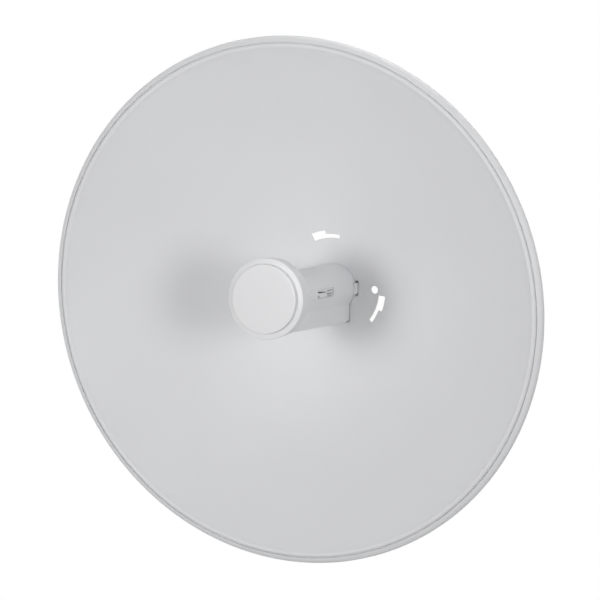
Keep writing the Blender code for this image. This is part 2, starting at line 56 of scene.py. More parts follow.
noiseSpan = (0.3, 0.7)  # this part of a noise's range is spread between the two looks


def newMaterial(name):
    material = bpy.data.materials.new(name)
    material.use_nodes = True
    return material, material.node_tree


def addNoise(tree, coords, scale, detail, roughness=0.5):
    noise = tree.nodes.new("ShaderNodeTexNoise")
    noise.inputs["Scale"].default_value = scale
    noise.inputs["Detail"].default_value = detail
    noise.inputs["Roughness"].default_value = roughness
    tree.links.new(coords, noise.inputs["Vector"])
    return noise.outputs["Fac"]


def remap(tree, value, low, high):
    span = tree.nodes.new("ShaderNodeMapRange")
    span.inputs["From Min"].default_value = noiseSpan[0]
    span.inputs["From Max"].default_value = noiseSpan[1]
    span.inputs["To Min"].default_value = low
    span.inputs["To Max"].default_value = high
    tree.links.new(value, span.inputs["Value"])
    return span.outputs["Result"]


def blendColours(tree, value, first, second):
    ramp = tree.nodes.new("ShaderNodeValToRGB")
    for stop, position, colour in zip(ramp.color_ramp.elements, noiseSpan, (first, second)):
        stop.position = position
        stop.color = (*colour, 1)
    tree.links.new(value, ramp.inputs["Fac"])
    return ramp.outputs["Color"]


def grainyCoat(name, look):
    # paint or moulded plastic: a faint cloudy tint, uneven gloss and a fine grain in the surface
    material, tree = newMaterial(name)
    shader = tree.nodes["Principled BSDF"]
    coords = tree.nodes.new("ShaderNodeTexCoord").outputs["Object"]
    cloud = addNoise(tree, coords, look["cloudScale"], 3)
    tree.links.new(blendColours(tree, cloud, look["dark"], look["light"]), shader.inputs["Base Color"])
    patch = addNoise(tree, coords, look["patchScale"], 4)
    middle, spread = look["roughness"], look["glossSpread"]
    tree.links.new(remap(tree, patch, middle - spread, middle + spread), shader.inputs["Roughness"])
    grain = addNoise(tree, coords, look["grainScale"], 2, 0.6)
    bump = tree.nodes.new("ShaderNodeBump")
    bump.inputs["Strength"].default_value = look["grainStrength"]
    bump.inputs["Distance"].default_value = look["grainDepth"]
    tree.links.new(grain, bump.inputs["Height"])
    tree.links.new(bump.outputs["Normal"], shader.inputs["Normal"])
    shader.inputs["Metallic"].default_value = look.get("metallic", 0)
    return material


dishPaint = grainyCoat("dishPaint", {
    "dark": (0.775, 0.778, 0.790), "light": (0.800, 0.803, 0.815), "cloudScale": 5, "patchScale": 14,
    "roughness": 0.46, "glossSpread": 0.03, "grainScale": 900, "grainStrength": 0.10, "grainDepth": 0.0002})
housingPlastic = grainyCoat("housingPlastic", {
    "dark": (0.828, 0.834, 0.846), "light": (0.850, 0.856, 0.868), "cloudScale": 9, "patchScale": 30,
    "roughness": 0.40, "glossSpread": 0.04, "grainScale": 1700, "grainStrength": 0.12, "grainDepth": 0.0001})
capPlastic = grainyCoat("capPlastic", {
    "dark": (0.800, 0.800, 0.812), "light": (0.820, 0.820, 0.832), "cloudScale": 9, "patchScale": 22,
    "roughness": 0.34, "glossSpread": 0.03, "grainScale": 2100, "grainStrength": 0.05, "grainDepth": 0.0001})
bracketPaint = grainyCoat("bracketPaint", {
    "dark": (0.690, 0.695, 0.705), "light": (0.735, 0.740, 0.750), "cloudScale": 12, "patchScale": 40,
    "roughness": 0.52, "glossSpread": 0.05, "grainScale": 1200, "grainStrength": 0.30, "grainDepth": 0.0003})
glandPlastic = grainyCoat("glandPlastic", {
    "dark": (0.018, 0.018, 0.020), "light": (0.030, 0.030, 0.033), "cloudScale": 30, "patchScale": 60,
    "roughness": 0.50, "glossSpread": 0.06, "grainScale": 2400, "grainStrength": 0.20, "grainDepth": 0.0001})
zincPlate = grainyCoat("zincPlate", {
    "dark": (0.56, 0.55, 0.53), "light": (0.68, 0.67, 0.65), "cloudScale": 60, "patchScale": 130,
    "roughness": 0.34, "glossSpread": 0.07, "grainScale": 1500, "grainStrength": 0.16, "grainDepth": 0.0001,
    "metallic": 1.0})
print("materials made")


# shapes

mergeDistance = 0.0000005
# how far a cutter goes past the face that it opens, and a joined shape into its neighbour
overlap = 0.001


def lathe(points, steps, closed=False):
    # a line of (radius, height) turned about local z
    bm = bmesh.new()
    verts = [bm.verts.new((r, 0, z)) for r, z in points]
    edges = [bm.edges.new(pair) for pair in zip(verts, verts[1:])]
    if closed:
        edges.append(bm.edges.new((verts[-1], verts[0])))
    bmesh.ops.spin(bm, geom=verts + edges, cent=(0, 0, 0), axis=(0, 0, 1), dvec=(0, 0, 0), angle=math.tau,
                   steps=steps, use_merge=True, use_normal_flip=False, use_duplicate=False)
    bmesh.ops.remove_doubles(bm, verts=bm.verts, dist=mergeDistance)
    bmesh.ops.recalc_face_normals(bm, faces=bm.faces)
    return bm


def prism(outline, low, high):
    # a flat outline made solid between two heights
    bm = bmesh.new()
    face = bm.faces.new([bm.verts.new((x, y, low)) for x, y in outline])
    grown = bmesh.ops.extrude_face_region(bm, geom=[face])
    risen = [v for v in grown["geom"] if isinstance(v, bmesh.types.BMVert)]
    bmesh.ops.translate(bm, vec=(0, 0, high - low), verts=risen)
    bmesh.ops.recalc_face_normals(bm, faces=bm.faces)
    return bm


def brick(low, high):
    bm = bmesh.new()
    bmesh.ops.create_cube(bm, size=1)
    bmesh.ops.scale(bm, vec=[b - a for a, b in zip(low, high)], verts=bm.verts)
    bmesh.ops.translate(bm, vec=[(a + b) / 2 for a, b in zip(low, high)], verts=bm.verts)
    return bm


def bar(radius, low, high, sides, at=(0, 0), turn=0):
    bm = bmesh.new()
    bmesh.ops.create_cone(bm, cap_ends=True, segments=sides, radius1=radius, radius2=radius, depth=high - low)
    bmesh.ops.rotate(bm, cent=(0, 0, 0), matrix=Matrix.Rotation(turn, 3, "Z"), verts=bm.verts)
    bmesh.ops.translate(bm, vec=(at[0], at[1], (low + high) / 2), verts=bm.verts)
    return bm


def alongAxis(axis):
    # picks the edges that run along an axis
    return lambda e: abs(e.verts[0].co[axis] - e.verts[1].co[axis]) > 0.001


def soften(bm, width, segments=2, degrees=30, test=None):
    # rounds every edge that is sharper than the angle given, or those of them that pass the test
    limit = math.radians(degrees)
    sharp = [e for e in bm.edges if e.is_manifold and e.calc_face_angle(0) > limit]
    if test is not None:
        sharp = [e for e in sharp if test(e)]
    bmesh.ops.bevel(bm, geom=sharp, offset=width, offset_type="OFFSET", segments=segments, profile=0.5,
                    affect="EDGES", material=-1, clamp_overlap=True)
    return bm


def toObject(bm, name, material, frameMatrix=None):
    if frameMatrix is not None:
        bmesh.ops.transform(bm, matrix=frameMatrix, verts=bm.verts)
    bmesh.ops.recalc_face_normals(bm, faces=bm.faces)
    mesh = bpy.data.meshes.new(name)
    bm.to_mesh(mesh)
    bm.free()
    if material is not None:
        mesh.materials.append(material)
    thing = bpy.data.objects.new(name, mesh)
    bpy.context.scene.collection.objects.link(thing)
    return thing


def applyAll(thing):
    shape = thing.evaluated_get(bpy.context.evaluated_depsgraph_get())
    mesh = bpy.data.meshes.new_from_object(shape)
    thing.modifiers.clear()
    thing.data = mesh


def combine(thing, others, operation):
    # cuts, joins or trims with other shapes, which are then thrown away
    for other in others:
        step = thing.modifiers.new(operation, "BOOLEAN")
        step.operation = operation
        step.solver = "EXACT"
        step.object = other
    applyAll(thing)
    for other in others:
        bpy.data.objects.remove(other, do_unlink=True)


def cut(thing, *shapes):
    others = [toObject(bm, "cutter", None, matrix) for bm, matrix in shapes]
    combine(thing, others, "DIFFERENCE")


def weld(thing, *shapes):
    others = [toObject(bm, "joined", None, matrix) for bm, matrix in shapes]
    combine(thing, others, "UNION")


def roundEdges(thing, width, segments=2, degrees=32):
    bevel = thing.modifiers.new("edges", "BEVEL")
    bevel.width = width
    bevel.segments = segments
    bevel.limit_method = "ANGLE"
    bevel.angle_limit = math.radians(degrees)
    bevel.harden_normals = False
    bevel.use_clamp_overlap = True
    applyAll(thing)


def finishPiece(thing, slot, *nodes, degrees=38):
    thing.data.shade_smooth()
    thing.data.set_sharp_from_angle(angle=math.radians(degrees))
    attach(thing, "root")
    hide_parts(*nodes)
    return thing


def smoothLine(points, steps):
    # a soft line through its points
    line = []
    for i in range(len(points) - 1):
        a = Vector(points[max(i - 1, 0)])
        b = Vector(points[i])
        c = Vector(points[i + 1])
        d = Vector(points[min(i + 2, len(points) - 1)])
        for k in range(steps):
            t = k / steps
            line.append(tuple(0.5 * (2 * b + (c - a) * t + (2 * a - 5 * b + 4 * c - d) * t * t
                                     + (3 * b - a - 3 * c + d) * t ** 3)))
    return line + [tuple(points[-1])]


def arc(radius, start, end, steps, centre=(0, 0)):
    # angles in degrees, from the top towards +x
    angles = [math.radians(start + (end - start) * i / steps) for i in range(steps + 1)]
    return [(centre[0] + radius * math.sin(a), centre[1] + radius * math.cos(a)) for a in angles]


def mirrored(half):
    return half + [(-x, y) for x, y in reversed(half) if x > 0]


def onSide(side, near, far):
    # two distances from the middle plane, as the low and the high x on one side
    return sorted((side * near, side * far))


def onCircle(radius, degrees):
    # a place on a circle, from the top towards +x
    return radius * math.sin(math.radians(degrees)), radius * math.cos(math.radians(degrees))


# the pressed sheet of the reflector, with its bead, the step beside it and the rolled rim

reflector = {
    "focalLength": 0.179, "rimPlane": 0.0831, "bowlRadius": 0.2490, "seatRadius": 0.026, "holeRadius": 0.0163,
    "sheet": 0.0015, "bowlSteps": 44, "turnSteps": 240, "lineSteps": 3, "cutReach": 0.015,
    "bead": [(0.2490, 0.0035), (0.2502, 0.0046), (0.2514, 0.0055), (0.2526, 0.0059), (0.2538, 0.0057),
             (0.2548, 0.0050), (0.2554, 0.0042)],
    "groove": [(0.2556, 0.0027), (0.2561, 0.0027), (0.2563, 0.0040)],
    "flange": [(0.2565, 0.0044), (0.2579, 0.0039), (0.2593, 0.0031), (0.2604, 0.0022), (0.2612, 0.0010),
               (0.2617, -0.0004), (0.2616, -0.0016), (0.2609, -0.0026)],
    "rimBack": [(0.2601, -0.0022), (0.2602, -0.0006), (0.2594, 0.0010), (0.2581, 0.0020), (0.2567, 0.0026),
                (0.2556, 0.0019), (0.2546, 0.0029), (0.2532, 0.0041), (0.2518, 0.0038), (0.2506, 0.0029)],
    "slotTurns": (0, 121, 240), "slotAngles": (-25.2, -8.8, 7.5), "slotInner": 0.0486, "slotWide": 0.0563,
    "slotNarrow": 0.0526, "lockHole": 0.0039, "lockHoleX": 0.0438,
    "keyWindow": (0.0209, 0.0257, -0.0076, 0.0074),
    "recess": 0.0010, "recessGap": 0.0006, "recessTight": 0.0001, "tightAbove": -0.007, "recessTop": 0.02,
    "footRings": 9, "footTurns": 120, "footReach": 0.03}


def bowlHeight(radius):
    return radius ** 2 / (4 * reflector["focalLength"])


seatZ = bowlHeight(reflector["seatRadius"])


def bowlLine(lift=0.0):
    # the bowl's front, from the flat seat to the bead, as (radius, height)
    inner, outer, steps = reflector["seatRadius"], reflector["bowlRadius"], reflector["bowlSteps"]
    radii = [inner + (outer - inner) * i / steps for i in range(steps)]
    return [(r, bowlHeight(r) + lift) for r in radii]


def footLine(drop, end):
    # the seat and the bowl beside it, lowered by drop and closed at the height given
    seat = reflector["seatRadius"]
    line = [(0, seatZ - drop), (seat, seatZ - drop)] + bowlLine(-drop)[1:reflector["footRings"]]
    return line + [(line[-1][0], end), (0, end)]


def backOf(line, thickness):
    # the same line on the sheet's other side
    moved = []
    for i, point in enumerate(line):
        before = Vector(line[max(i - 1, 0)])
        after = Vector(line[min(i + 1, len(line) - 1)])
        run = (after - before).normalized()
        moved.append((point[0] + run.y * thickness, point[1] - run.x * thickness))
    return moved


def slotOutline(turn):
    start, middle, end = reflector["slotAngles"]
    inner = arc(reflector["slotInner"], start + turn, end + turn, 12)
    wide = arc(reflector["slotWide"], start + turn, middle + turn, 6)
    narrow = arc(reflector["slotNarrow"], middle + turn, end + turn, 6)
    return wide + narrow + inner[::-1]


def makeReflector():
    values = reflector
    rise = values["rimPlane"]
    rim = []
    for word in ("bead", "groove", "flange", "rimBack"):
        rim += smoothLine([(r, rise + z) for r, z in values[word]], values["lineSteps"])
    bowl = [(values["holeRadius"], seatZ)] + bowlLine()
    under = backOf(bowl, values["sheet"])
    under[0] = (values["holeRadius"], seatZ - values["sheet"])
    section = lathe(bowl + rim + under[::-1], values["turnSteps"], closed=True)
    dish = toObject(section, "reflectorSheet", dishPaint, dishFrame)
    low, high = -values["cutReach"], values["cutReach"]
    holes = [(prism(slotOutline(turn), low, high), dishFrame) for turn in values["slotTurns"]]
    holes.append((bar(values["lockHole"], low, high, 40, (values["lockHoleX"], 0)), dishFrame))
    near, far, foot, top = values["keyWindow"]
    for side in (1, -1):
        left, right = onSide(side, near, far)
        holes.append((brick((left, foot, low), (right, top, high)), dishFrame))
    cut(dish, *holes)
    # a shallow recess that the feed's foot stands in, with a visible gap along its lower part only
    tight, wide = housingOutline(values["recessTight"]), housingOutline(values["recessGap"])
    outline = [a if a[1] > values["tightAbove"] else b for a, b in zip(tight, wide)]
    recess = toObject(prism(outline, feed["back"], values["recessTop"]), "recess", None, feedFrame)
    above = lathe(footLine(values["recess"], values["footReach"]), values["footTurns"])
    combine(recess, [toObject(above, "above", None, dishFrame)], "INTERSECT")
    combine(dish, [recess], "DIFFERENCE")
    finishPiece(dish, "dish_paint", "reflector", degrees=40)
    print("reflector made")


# the feed's housing, a long moulding with a round top and a narrow keel, and what sits on it

feed = {
    "radius": 0.0226, "arcY": 0.0001, "arcEnd": 107.3, "sideX": 0.0162, "sideY": -0.0169, "bottomY": -0.0345,
    "corner": 0.0015, "back": -0.012, "front": 0.1465, "edge": 0.0007, "fineEdge": 0.0003, "sink": 0.0006,
    "spigot": 0.016, "spigotBack": -0.0048, "spigotHigh": 0.004,
    "latch": (0.0520, 0.0915), "latchY": (-0.0042, 0.0048), "latchDepth": 0.0030, "cutPast": 0.005,
    "rampEnd": 0.1057, "rampProud": 0.0010, "rampRoot": 0.002, "rampFlat": 0.001,
    "notchX": (0.0085, 0.0180), "notchY": (-0.0336, -0.0322), "notchZ": (-0.01, 0.0088),
    "keyX": (0.0222, 0.0251), "keyY": (-0.0056, 0.0054), "keyTop": 0.0045, "keyEdge": 0.0005}


def housingOutline(grown=0):
    values = feed
    crown = arc(values["radius"] + grown, 0, values["arcEnd"], 26, (0, values["arcY"]))
    corner, sideX = values["corner"], values["sideX"] + grown
    foot = arc(corner, 90, 180, 4, (sideX - corner, values["bottomY"] - grown + corner))
    return mirrored(crown + [(sideX, values["sideY"])] + foot)


makeReflector()


# downFeed takes an outline of (x, along the feed) and makes it solid downwards
# sideFeed takes an outline of (along the feed, height) and makes it solid along -x
downFeed = feedFrame @ Matrix.Rotation(math.radians(90), 4, "X")
sideFeed = feedFrame @ Matrix.Rotation(math.radians(-90), 4, "Y")


# the slit is an outline of (along the feed, height)
# each groove: where it starts and ends along the feed, and its two heights
latch = {"thick": 0.0016, "gap": 0.0003, "edge": 0.0002, "slitDeep": 0.010, "grooveDeep": 0.004,
         "pastFloor": 0.0005,
         "slit": [(0.0665, 0.0005), (0.0840, 0.0008), (0.0912, 0.0008), (0.0912, 0.0036), (0.0840, 0.0026),
                  (0.0665, 0.0012)],
         "grooves": [(0.0538, 0.0655, 0.0016, 0.0026), (0.0538, 0.0655, -0.0014, -0.0003),
                     (0.0538, 0.0655, -0.0032, -0.0023), (0.0830, 0.0909, -0.0030, -0.0018)]}


def latchCuts(side, inside, outside):
    # the slit and the grooves as cutters, from inside the housing to outside the tongue
    cuts = [(prism(latch["slit"], *onSide(-side, inside - latch["slitDeep"], outside)), sideFeed)]
    left, right = onSide(side, inside - latch["grooveDeep"], outside)
    for low, high, foot, top in latch["grooves"]:
        cuts.append((brick((left, foot, low), (right, top, high)), feedFrame))
    return cuts


def makeHousing():
    values = feed
    body = prism(housingOutline(), values["back"], values["front"])
    soften(body, values["edge"], 3, 20, alongAxis(2))
    housing = toObject(body, "feedBody", housingPlastic, feedFrame)
    radius = values["radius"]
    base = radius - values["latchDepth"]
    foot, top = values["latchY"]
    start, end = values["latch"]
    pockets = []
    ramps = []
    slits = []
    notches = []
    for side in (1, -1):
        left, right = onSide(side, base, radius + values["cutPast"])
        pockets.append((brick((left, foot, start), (right, top, end)), feedFrame))
        # a low ramp in front of the window, drawn along the feed and made solid across it
        near, far = side * (radius - values["rampRoot"]), side * (radius + values["rampProud"])
        slope = [(near, end), (far, end), (far, end + values["rampFlat"]), (side * radius, values["rampEnd"]),
                 (near, values["rampEnd"])]
        ramps.append((soften(prism(slope, -top, -foot), values["fineEdge"], 2, 60), downFeed))
        slits += latchCuts(side, base, base + latch["pastFloor"])
        left, right = onSide(side, *values["notchX"])
        corners = zip((left, right), values["notchY"], values["notchZ"])
        notches.append((brick(*corners), dishFrame))
    weld(housing, *ramps)
    cut(housing, *pockets)
    roundEdges(housing, values["fineEdge"], 2, 40)
    cut(housing, *slits)
    # the foot follows the seat and the bowl, with a small blind slot at each lower corner
    under = lathe(footLine(values["sink"], -reflector["footReach"]), reflector["footTurns"])
    cut(housing, (under, dishFrame), *notches)
    spigot = bar(values["spigot"], values["spigotBack"], seatZ + values["spigotHigh"], 64)
    weld(housing, (spigot, dishFrame))
    finishPiece(housing, "housing_plastic", "feed_housing", degrees=30)


def makeLatch(side, word):
    # a spring tongue in its window, with a slit along it and finger grooves at its foot end
    gap = latch["gap"]
    base = feed["radius"] - feed["latchDepth"] + gap
    face = base + latch["thick"]
    foot, top = feed["latchY"][0] + gap, feed["latchY"][1] - gap
    start, end = feed["latch"][0] + gap, feed["latch"][1] - gap
    left, right = onSide(side, base, face)
    blank = brick((left, foot, start), (right, top, end))
    tongue = toObject(blank, f"latchTongue_{word}", housingPlastic, feedFrame)
    cut(tongue, *latchCuts(side, base, face + overlap))
    roundEdges(tongue, latch["edge"], 2)
    finishPiece(tongue, "housing_plastic", f"latch_{word}")


def makeKey(side, word):
    values = feed
    left, right = onSide(side, *values["keyX"])
    low = (left, values["keyY"][0], seatZ - reflector["sheet"])
    high = (right, values["keyY"][1], seatZ + values["keyTop"])
    lug = soften(brick(low, high), values["keyEdge"], 3)
    thing = toObject(lug, f"keyLug_{word}", housingPlastic, dishFrame)
    finishPiece(thing, "housing_plastic", f"feed_key_{word}")


makeHousing()
for sign, side in ((1, "right"), (-1, "left")):
    makeLatch(sign, side)
    makeKey(sign, side)
print("feed housing made")


# the round cap and the raised disc on its face, which is bare

cap = {"radius": 0.0401, "backRadius": 0.0392, "back": 0.1468, "front": 0.1646, "slope": 0.0009,
       "edge": 0.0008, "backEdge": 0.0008, "discRadius": 0.0342, "discFoot": 0.0347, "discGap": 0.0003,
       "discFront": 0.1687, "discEdge": 0.0006, "crown": 0.0002, "crownWide": 0.0022, "turnSteps": 160}


def makeCap():
    values = cap
    r, edge, small = values["radius"], values["edge"], values["backEdge"]
    rim = values["front"] - values["slope"]
    frontRound = arc(edge, 0, 90, 6, (r - edge, rim - edge))
    backRound = arc(small, 90, 180, 6, (values["backRadius"] - small, values["back"] + small))
    line = [(0, values["front"]), (values["discFoot"], values["front"])] + frontRound + backRound
    line.append((0, values["back"]))
    puck = toObject(lathe(line, values["turnSteps"]), "capPuck", capPlastic, feedFrame)
    finishPiece(puck, "cap_plastic", "feed_cap", degrees=50)
    r, edge, low = values["discRadius"], values["discEdge"], values["crown"]
    top = values["discFront"]
    crown = [(r - values["crownWide"], top), (r - values["crownWide"] / 2, top - low / 4)]
    discRound = arc(edge, 10, 90, 5, (r - edge, top - low - edge))
    floor = values["front"] + values["discGap"]
    line = [(0, top)] + crown + discRound + [(values["discFoot"], floor), (0, floor)]
    disc = toObject(lathe(line, values["turnSteps"]), "capDisc", capPlastic, feedFrame)
    finishPiece(disc, "cap_plastic", "feed_cap_disc", degrees=50)
    print("cap made")


makeCap()


# the hub behind the sheet: its plate, the round housing, four screws, and the door with the cable gland

hub = {"plateRadius": 0.035, "bore": 0.0163, "plateFront": -0.00087, "plateBack": -0.0048,
       "plateEdge": 0.0006, "plateRound": 0.0009, "plateGroove": (0.0298, 0.0318), "grooveSlope": 0.0004,
       "grooveDeep": 0.0006,
       "notchRadius": 0.004, "notchCircle": 0.0375, "notchAngles": (60, 180, 300),
       "pocketGap": 0.0006, "pocketFloor": 0.0007,
       "front": -0.0051, "frontEdge": 0.0005, "radius": 0.0285, "step": -0.0200, "neckRadius": 0.023,
       "back": -0.0330, "flatY": -0.0245, "stepRound": 0.002, "rootRound": 0.0012, "heelRound": 0.0014,
       "seam": (-0.0081, -0.0092), "seamDeep": 0.0004, "seamSlope": 0.0003,
       "ribs": 22, "ribSweep": 300, "ribRadius": 0.0011, "ribProud": 0.0006, "ribZ": (-0.0170, -0.0103),
       "screwCircle": 0.02575, "screwTurn": 45, "screwSink": 0.0003}


def makeHubPlate():
    values = hub
    r, low, high = values["plateRadius"], values["plateBack"], values["plateFront"]
    edge, bend = values["plateEdge"], values["plateRound"]
    inner, outer = values["plateGroove"]
    slope, floor = values["grooveSlope"], low + values["grooveDeep"]
    ring = [(values["bore"], high), (r - edge, high), (r, high - edge), (r, low + bend),
            (r - bend / 3, low + bend / 3), (r - bend, low), (outer, low), (outer - slope, floor),
            (inner + slope, floor), (inner, low), (values["bore"], low)]
    plate = toObject(lathe(ring, 120, closed=True), "hubPlate", bracketPaint, dishFrame)
    # finger notches in its edge
    spots = [onCircle(values["notchCircle"], turn) for turn in values["notchAngles"]]
    cuts = [(bar(values["notchRadius"], low - overlap, high + overlap, 32, at), dishFrame) for at in spots]
    # a pocket behind each window of the sheet, for the feed's lug
    near, far, foot, top = reflector["keyWindow"]
    gap = values["pocketGap"]
    for side in (1, -1):
        left, right = onSide(side, near - gap, far + gap)
        pocket = brick((left, foot - gap, low + values["pocketFloor"]), (right, top + gap, high + overlap))
        cuts.append((pocket, dishFrame))
    cut(plate, *cuts)
    finishPiece(plate, "bracket_paint", "hub_plate", degrees=25)


def makeHubHousing():
    values = hub
    r, front, step, neck = values["radius"], values["front"], values["step"], values["neckRadius"]
    edge, bend, heelBend = values["frontEdge"], values["stepRound"], values["heelRound"]
    rootBend = values["rootRound"]
    corner = arc(bend, 90, 180, 6, (r - bend, step + bend))
    root = arc(rootBend, 0, -90, 5, (neck + rootBend, step - rootBend))
    heel = arc(heelBend, 90, 180, 5, (neck - heelBend, values["back"] + heelBend))
    high, low = values["seam"]
    floor, slope = r - values["seamDeep"], values["seamSlope"]
    seam = [(r, high), (floor, high - slope), (floor, low + slope), (r, low)]
    body = [(0, front), (r - edge, front), (r, front - edge)] + seam + corner + root + heel
    body.append((0, values["back"]))
    housing = toObject(lathe(body, 160), "hubHousing", housingPlastic, dishFrame)
    # the flat underneath that the door lies on
    wide = r + overlap
    below = brick((-wide, -wide, step - overlap), (wide, values["flatY"], front + overlap))
    cuts = [(below, dishFrame)]
    # grip grooves round the drum
    count, sweep = values["ribs"], values["ribSweep"]
    for i in range(count):
        at = onCircle(r + values["ribProud"], -sweep / 2 + sweep * (i + 0.5) / count)
        cuts.append((bar(values["ribRadius"], *values["ribZ"], 12, at), dishFrame))
    cut(housing, *cuts)
    finishPiece(housing, "housing_plastic", "hub_housing", degrees=24)
    for i in range(4):
        x, y = onCircle(values["screwCircle"], values["screwTurn"] - 90 * i)
        spot = dishFrame @ Matrix.Translation((x, y, step - values["screwSink"])) @ halfTurn
        makeScrew(f"hubScrew{i + 1}", f"hub_screw_{i + 1}", screws["hub"], spot)


# pan-head screws: the head's radius and height, and the shank's radius and length
screws = {"hub": (0.0024, 0.0018, 0.0012, 0.006), "earth": (0.0046, 0.0030, 0.0025, 0.005),
          "bracket": (0.0046, 0.0030, 0.0025, 0.0064)}
# shares of the head's height and radius
screwHead = {"crown": 0.8, "recess": 0.46, "recessFloor": 0.35}


def makeScrew(name, node, size, spot):
    # a pan head with a six-sided recess; local z points out of the head's top
    radius, high, shank, length = size
    crown = high * screwHead["crown"]
    line = [(0, -length), (shank, -length), (shank, 0), (radius, 0)]
    line += arc(crown, 90, 0, 6, (radius - crown, high - crown)) + [(0, high)]
    screw = toObject(lathe(line, 40), name, zincPlate, spot)
    recess = bar(radius * screwHead["recess"], high * screwHead["recessFloor"], high + overlap, 6)
    cut(screw, (recess, spot))
    finishPiece(screw, "zinc_fastener", node, degrees=28)


# the door under the hub, with the cable gland; the lip is given from the dome's tip
port = {"halfX": 0.0135, "half": 0.0055, "depth": -0.0132, "thick": 0.0018, "sink": 0.0003, "corner": 0.0016,
        "edge": 0.00025, "grooveX": 0.0095, "grooveStep": 0.0011, "grooveHalf": 0.00025, "grooveEnd": 0.0016,
        "grooveFloor": 0.0013, "shaft": 0.0048, "gap": 0.0003, "nutRadius": 0.0075, "nutHigh": 0.0045,
        "domeRadius": 0.0066, "domeHigh": 0.0085, "domeRound": 0.0030, "domeDrop": 0.0034, "throat": 0.0024,
        "lip": [(0.0037, -0.0003), (0.0034, 0), (0.0029, 0), (0.0024, -0.0008)],
        "grips": 12, "gripRadius": 0.0009, "gripProud": 0.0005, "gripStart": 0.0008, "gripEnd": 0.0036}


def makePort():
    # downFrame stands on the hub's flat, with local z pointing down
    values = port
    downFrame = dishFrame @ Matrix.Translation((0, hub["flatY"] - values["sink"], values["depth"]))
    downFrame = downFrame @ Matrix.Rotation(math.radians(90), 4, "X")
    halfX, half, thick, gap = values["halfX"], values["half"], values["thick"], values["gap"]
    slab = soften(brick((-halfX, -half, 0), (halfX, half, thick)), values["corner"], 4, 30, alongAxis(2))
    door = toObject(slab, "portDoor", housingPlastic, downFrame)
    bore = values["shaft"] + gap
    cuts = [(bar(bore, -overlap, thick + overlap, 40), downFrame)]
    wide, end = values["grooveHalf"], half - values["grooveEnd"]
    for side in (1, -1):
        for i in range(3):
            x = side * (values["grooveX"] + i * values["grooveStep"])
            groove = brick((x - wide, -end, values["grooveFloor"]), (x + wide, end, thick + overlap))
            cuts.append((groove, downFrame))
    cut(door, *cuts)
    roundEdges(door, values["edge"], 2)
    finishPiece(door, "housing_plastic", "port_door", degrees=25)
    foot = thick + gap
    seat = foot + values["nutHigh"]
    nut = makeHex("glandNut", values["nutRadius"], foot, seat, True, glandPlastic, downFrame)
    cut(nut, (bar(bore, foot - overlap, seat + overlap, 40), downFrame))
    finishPiece(nut, "gland_plastic", "gland_nut", degrees=25)
    base, tip = seat + gap, seat + values["domeHigh"]
    r, bend = values["domeRadius"], values["domeRound"]
    line = [(values["throat"], 0), (values["shaft"], 0), (values["shaft"], base), (r, base)]
    line += arc(bend, 90, 25, 6, (r - bend, tip - values["domeDrop"]))
    line += [(x, tip + z) for x, z in values["lip"]]
    gland = toObject(lathe(line, 72, closed=True), "cableGland", glandPlastic, downFrame)
    grips = []
    for i in range(values["grips"]):
        at = onCircle(r + values["gripProud"], 90 - 360 * i / values["grips"])
        grip = bar(values["gripRadius"], base + values["gripStart"], tip - values["gripEnd"], 10, at)
        grips.append((grip, downFrame))
    cut(gland, *grips)
    finishPiece(gland, "gland_plastic", "cable_gland", degrees=25)


# a nut's or a head's flats as a share of its corner radius, and the turned-off corners
hexShape = {"face": 0.855, "beyond": 0.0016, "slope": 30}


def makeHex(name, radius, low, high, both, material, spot):
    # a six-sided nut or head with the corners of its top, or of both ends, turned off
    blank = toObject(bar(radius, low, high, 6, turn=math.radians(30)), name, material, spot)
    face = radius * hexShape["face"]
    out = face + hexShape["beyond"]
    drop = hexShape["beyond"] * math.tan(math.radians(hexShape["slope"]))
    lowEnd = [(0, low - overlap), (out, low - overlap)]
    if both:
        lowEnd = [(0, low), (face, low), (out, low + drop)]
    turned = lathe(lowEnd + [(out, high - drop), (face, high), (0, high)], 72)
    combine(blank, [toObject(turned, "chamfer", None, spot)], "INTERSECT")
    return blank


makeHubPlate()
makeHubHousing()
makePort()
print("hub made")


# fasteners with real chamfers, threads and washers

bolt = {"shank": 0.0040, "threadDeep": 0.00055, "pitch": 0.00125, "end": 0.0006, "tip": 0.0007, "hex": 0.0075,
        "headHigh": 0.0053, "nutHigh": 0.0065, "bore": 0.0043, "mouth": 0.0053, "mouthDeep": 0.0007,
        "washer": 0.0080, "washerThick": 0.0016, "washerEdge": 0.0003, "washerRound": 0.0005,
        "washerBore": 0.0002, "gap": 0.0003}


def makeBolt(name, node, spot, length, threadFrom):
    # local z runs from the head's underside along the shank; the head is on the low side
    values = bolt
    r, pitch, headHigh = values["shank"], values["pitch"], values["headHigh"]
    root = r - values["threadDeep"]
    line = [(0, -overlap), (r, -overlap), (r, threadFrom)]
    z = threadFrom
    while z + pitch < length - values["end"]:
        line += [(root, z + pitch * 0.45), (root, z + pitch * 0.55), (r, z + pitch * 0.95), (r, z + pitch)]
        z += pitch
    line += [(r - values["tip"], length), (0, length)]
    shank = toObject(lathe(line, 48), name, zincPlate, spot)
    headSpot = spot @ Matrix.Translation((0, 0, -headHigh)) @ halfTurn
    head = makeHex("head", values["hex"], -headHigh, 0, False, zincPlate, headSpot)
    combine(shank, [head], "UNION")
    finishPiece(shank, "zinc_fastener", node, degrees=25)


def makeNut(name, node, spot, low):
    values = bolt
    high = low + values["nutHigh"]
    nut = makeHex(name, values["hex"], low, high, True, zincPlate, spot)
    bore, mouth, deep = values["bore"], values["mouth"], values["mouthDeep"]
    line = [(0, low - overlap), (mouth, low - overlap), (bore, low + deep), (bore, high - deep),
            (mouth, high + overlap), (0, high + overlap)]
    cut(nut, (lathe(line, 48), spot))
    finishPiece(nut, "zinc_fastener", node, degrees=25)


